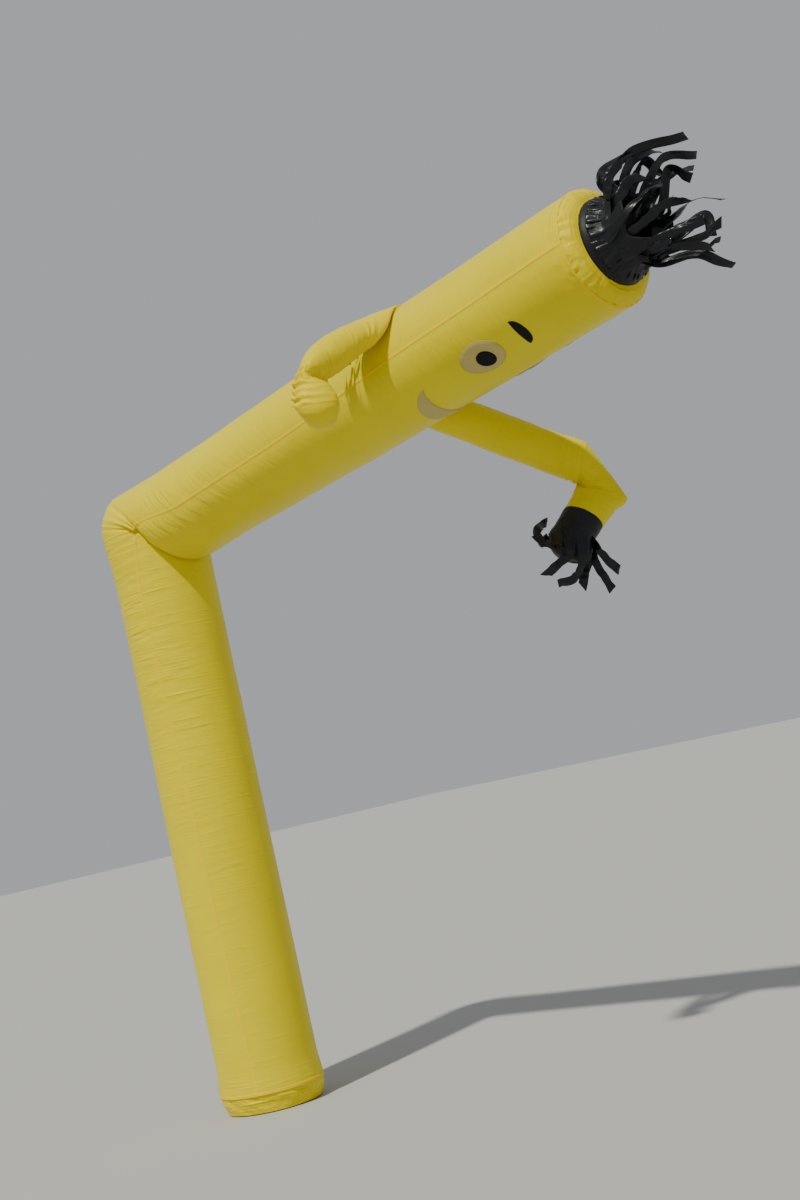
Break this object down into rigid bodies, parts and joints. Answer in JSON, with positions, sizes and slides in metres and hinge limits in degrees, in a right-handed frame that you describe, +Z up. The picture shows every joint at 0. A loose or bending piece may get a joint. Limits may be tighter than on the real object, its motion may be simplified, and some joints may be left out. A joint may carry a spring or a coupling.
{
  "type": "inflatable air dancer",
  "caption": "Hollow nylon tube man folded over at the waist, with two arms, black hands and hair, a sewn face and an open top that lets the air out.",
  "frame": {"origin": "centre of the base cuff's lower edge, where the fan's collar goes in", "axes": "+Z up along the leg, +X forward, the way that the upper length points over the fold, +Y to the side of the far arm"},
  "size_m": [3.5077, 1.3949, 3.2922],
  "materials": {
    "yellow_nylon": "smooth, slightly glossy coated nylon",
    "black_nylon": "glossy coated nylon",
    "cream_nylon": "matt nylon patch"
  },
  "bodies": {
    "root": {"base_cuff": "yellow_nylon", "body_tube": "yellow_nylon", "crown": "yellow_nylon", "near_arm": "yellow_nylon", "far_arm": "yellow_nylon", "collar": "black_nylon", "streamers": "black_nylon", "near_cuff": "black_nylon", "near_fingers": "black_nylon", "far_cuff": "black_nylon", "far_fingers": "black_nylon", "pupil": "black_nylon", "pupil_far": "black_nylon", "brow": "black_nylon", "brow_far": "black_nylon", "eye_white": "cream_nylon", "eye_white_far": "cream_nylon", "smile": "cream_nylon"}
  },
  "joints": []
}
